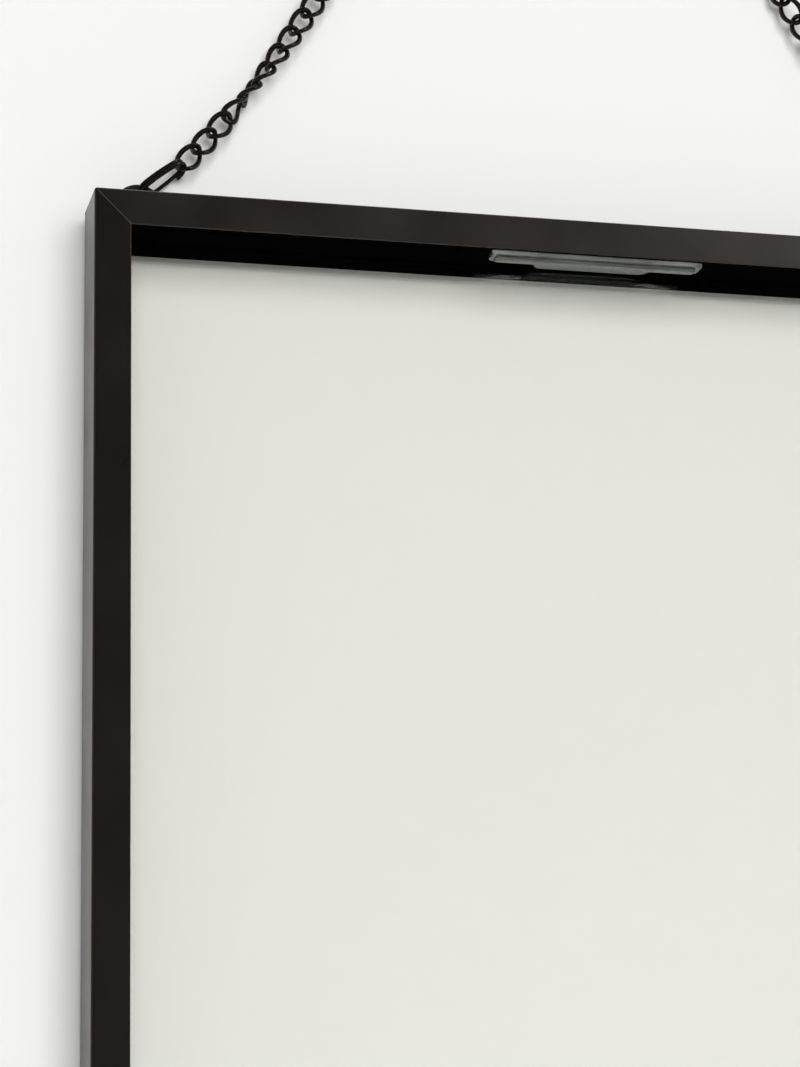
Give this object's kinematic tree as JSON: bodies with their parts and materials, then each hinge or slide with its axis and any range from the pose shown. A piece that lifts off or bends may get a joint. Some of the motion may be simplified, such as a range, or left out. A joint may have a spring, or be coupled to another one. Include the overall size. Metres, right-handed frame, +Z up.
{
  "type": "floating frame",
  "caption": "Hanging floating frame of mitred metal rails around two clear panes, held by clear clips and carried on a curb chain from two rear tabs.",
  "frame": {"origin": "the point of the chain's middle link that rests on the nail", "axes": "+Y into the wall, +Z up, +X along the top rail"},
  "size_m": [0.3, 0.024, 0.6096],
  "materials": {
    "rail_finish": "satin black anodised",
    "clear_glass": "clear polished",
    "clear_plastic": "clear moulded",
    "zinc_steel": "zinc plated",
    "black_steel": "black, semi-gloss",
    "black_chain": "black oxide, glossy"
  },
  "bodies": {
    "chain": {"chain_left": "black_chain", "chain_right": "black_chain", "middle_link": "black_chain", "split_ring_left": "black_chain", "split_ring_right": "black_chain"},
    "frame": {"rail_top": "rail_finish", "rail_bottom": "rail_finish", "rail_left": "rail_finish", "rail_right": "rail_finish", "front_glass": "clear_glass", "rear_glass": "clear_glass", "corner_angle_top_left": "zinc_steel", "corner_backing_top_left": "zinc_steel", "corner_angle_top_right": "zinc_steel", "corner_backing_top_right": "zinc_steel", "corner_angle_bottom_left": "zinc_steel", "corner_backing_bottom_left": "zinc_steel", "corner_angle_bottom_right": "zinc_steel", "corner_backing_bottom_right": "zinc_steel", "corner_set_screws": "zinc_steel", "hanger_tab_left": "black_steel", "hanger_tab_right": "black_steel", "hanger_screws": "black_steel"},
    "clip_top": {"clip_top": "clear_plastic"},
    "clip_bottom": {"clip_bottom": "clear_plastic"}
  },
  "joints": [
    {"name": "frame_tilt", "type": "hinge", "parent": "chain", "child": "frame", "pos_m": [0, 0, -0.20183], "axis": [1, 0, 0], "range_deg": [-30, 0]},
    {"name": "clip_top_slide", "type": "slide", "parent": "frame", "child": "clip_top", "axis": [0, 0, -1], "range_m": [0, 0.012]},
    {"name": "clip_bottom_slide", "type": "slide", "parent": "frame", "child": "clip_bottom", "axis": [0, 0, 1], "range_m": [0, 0.012]}
  ]
}
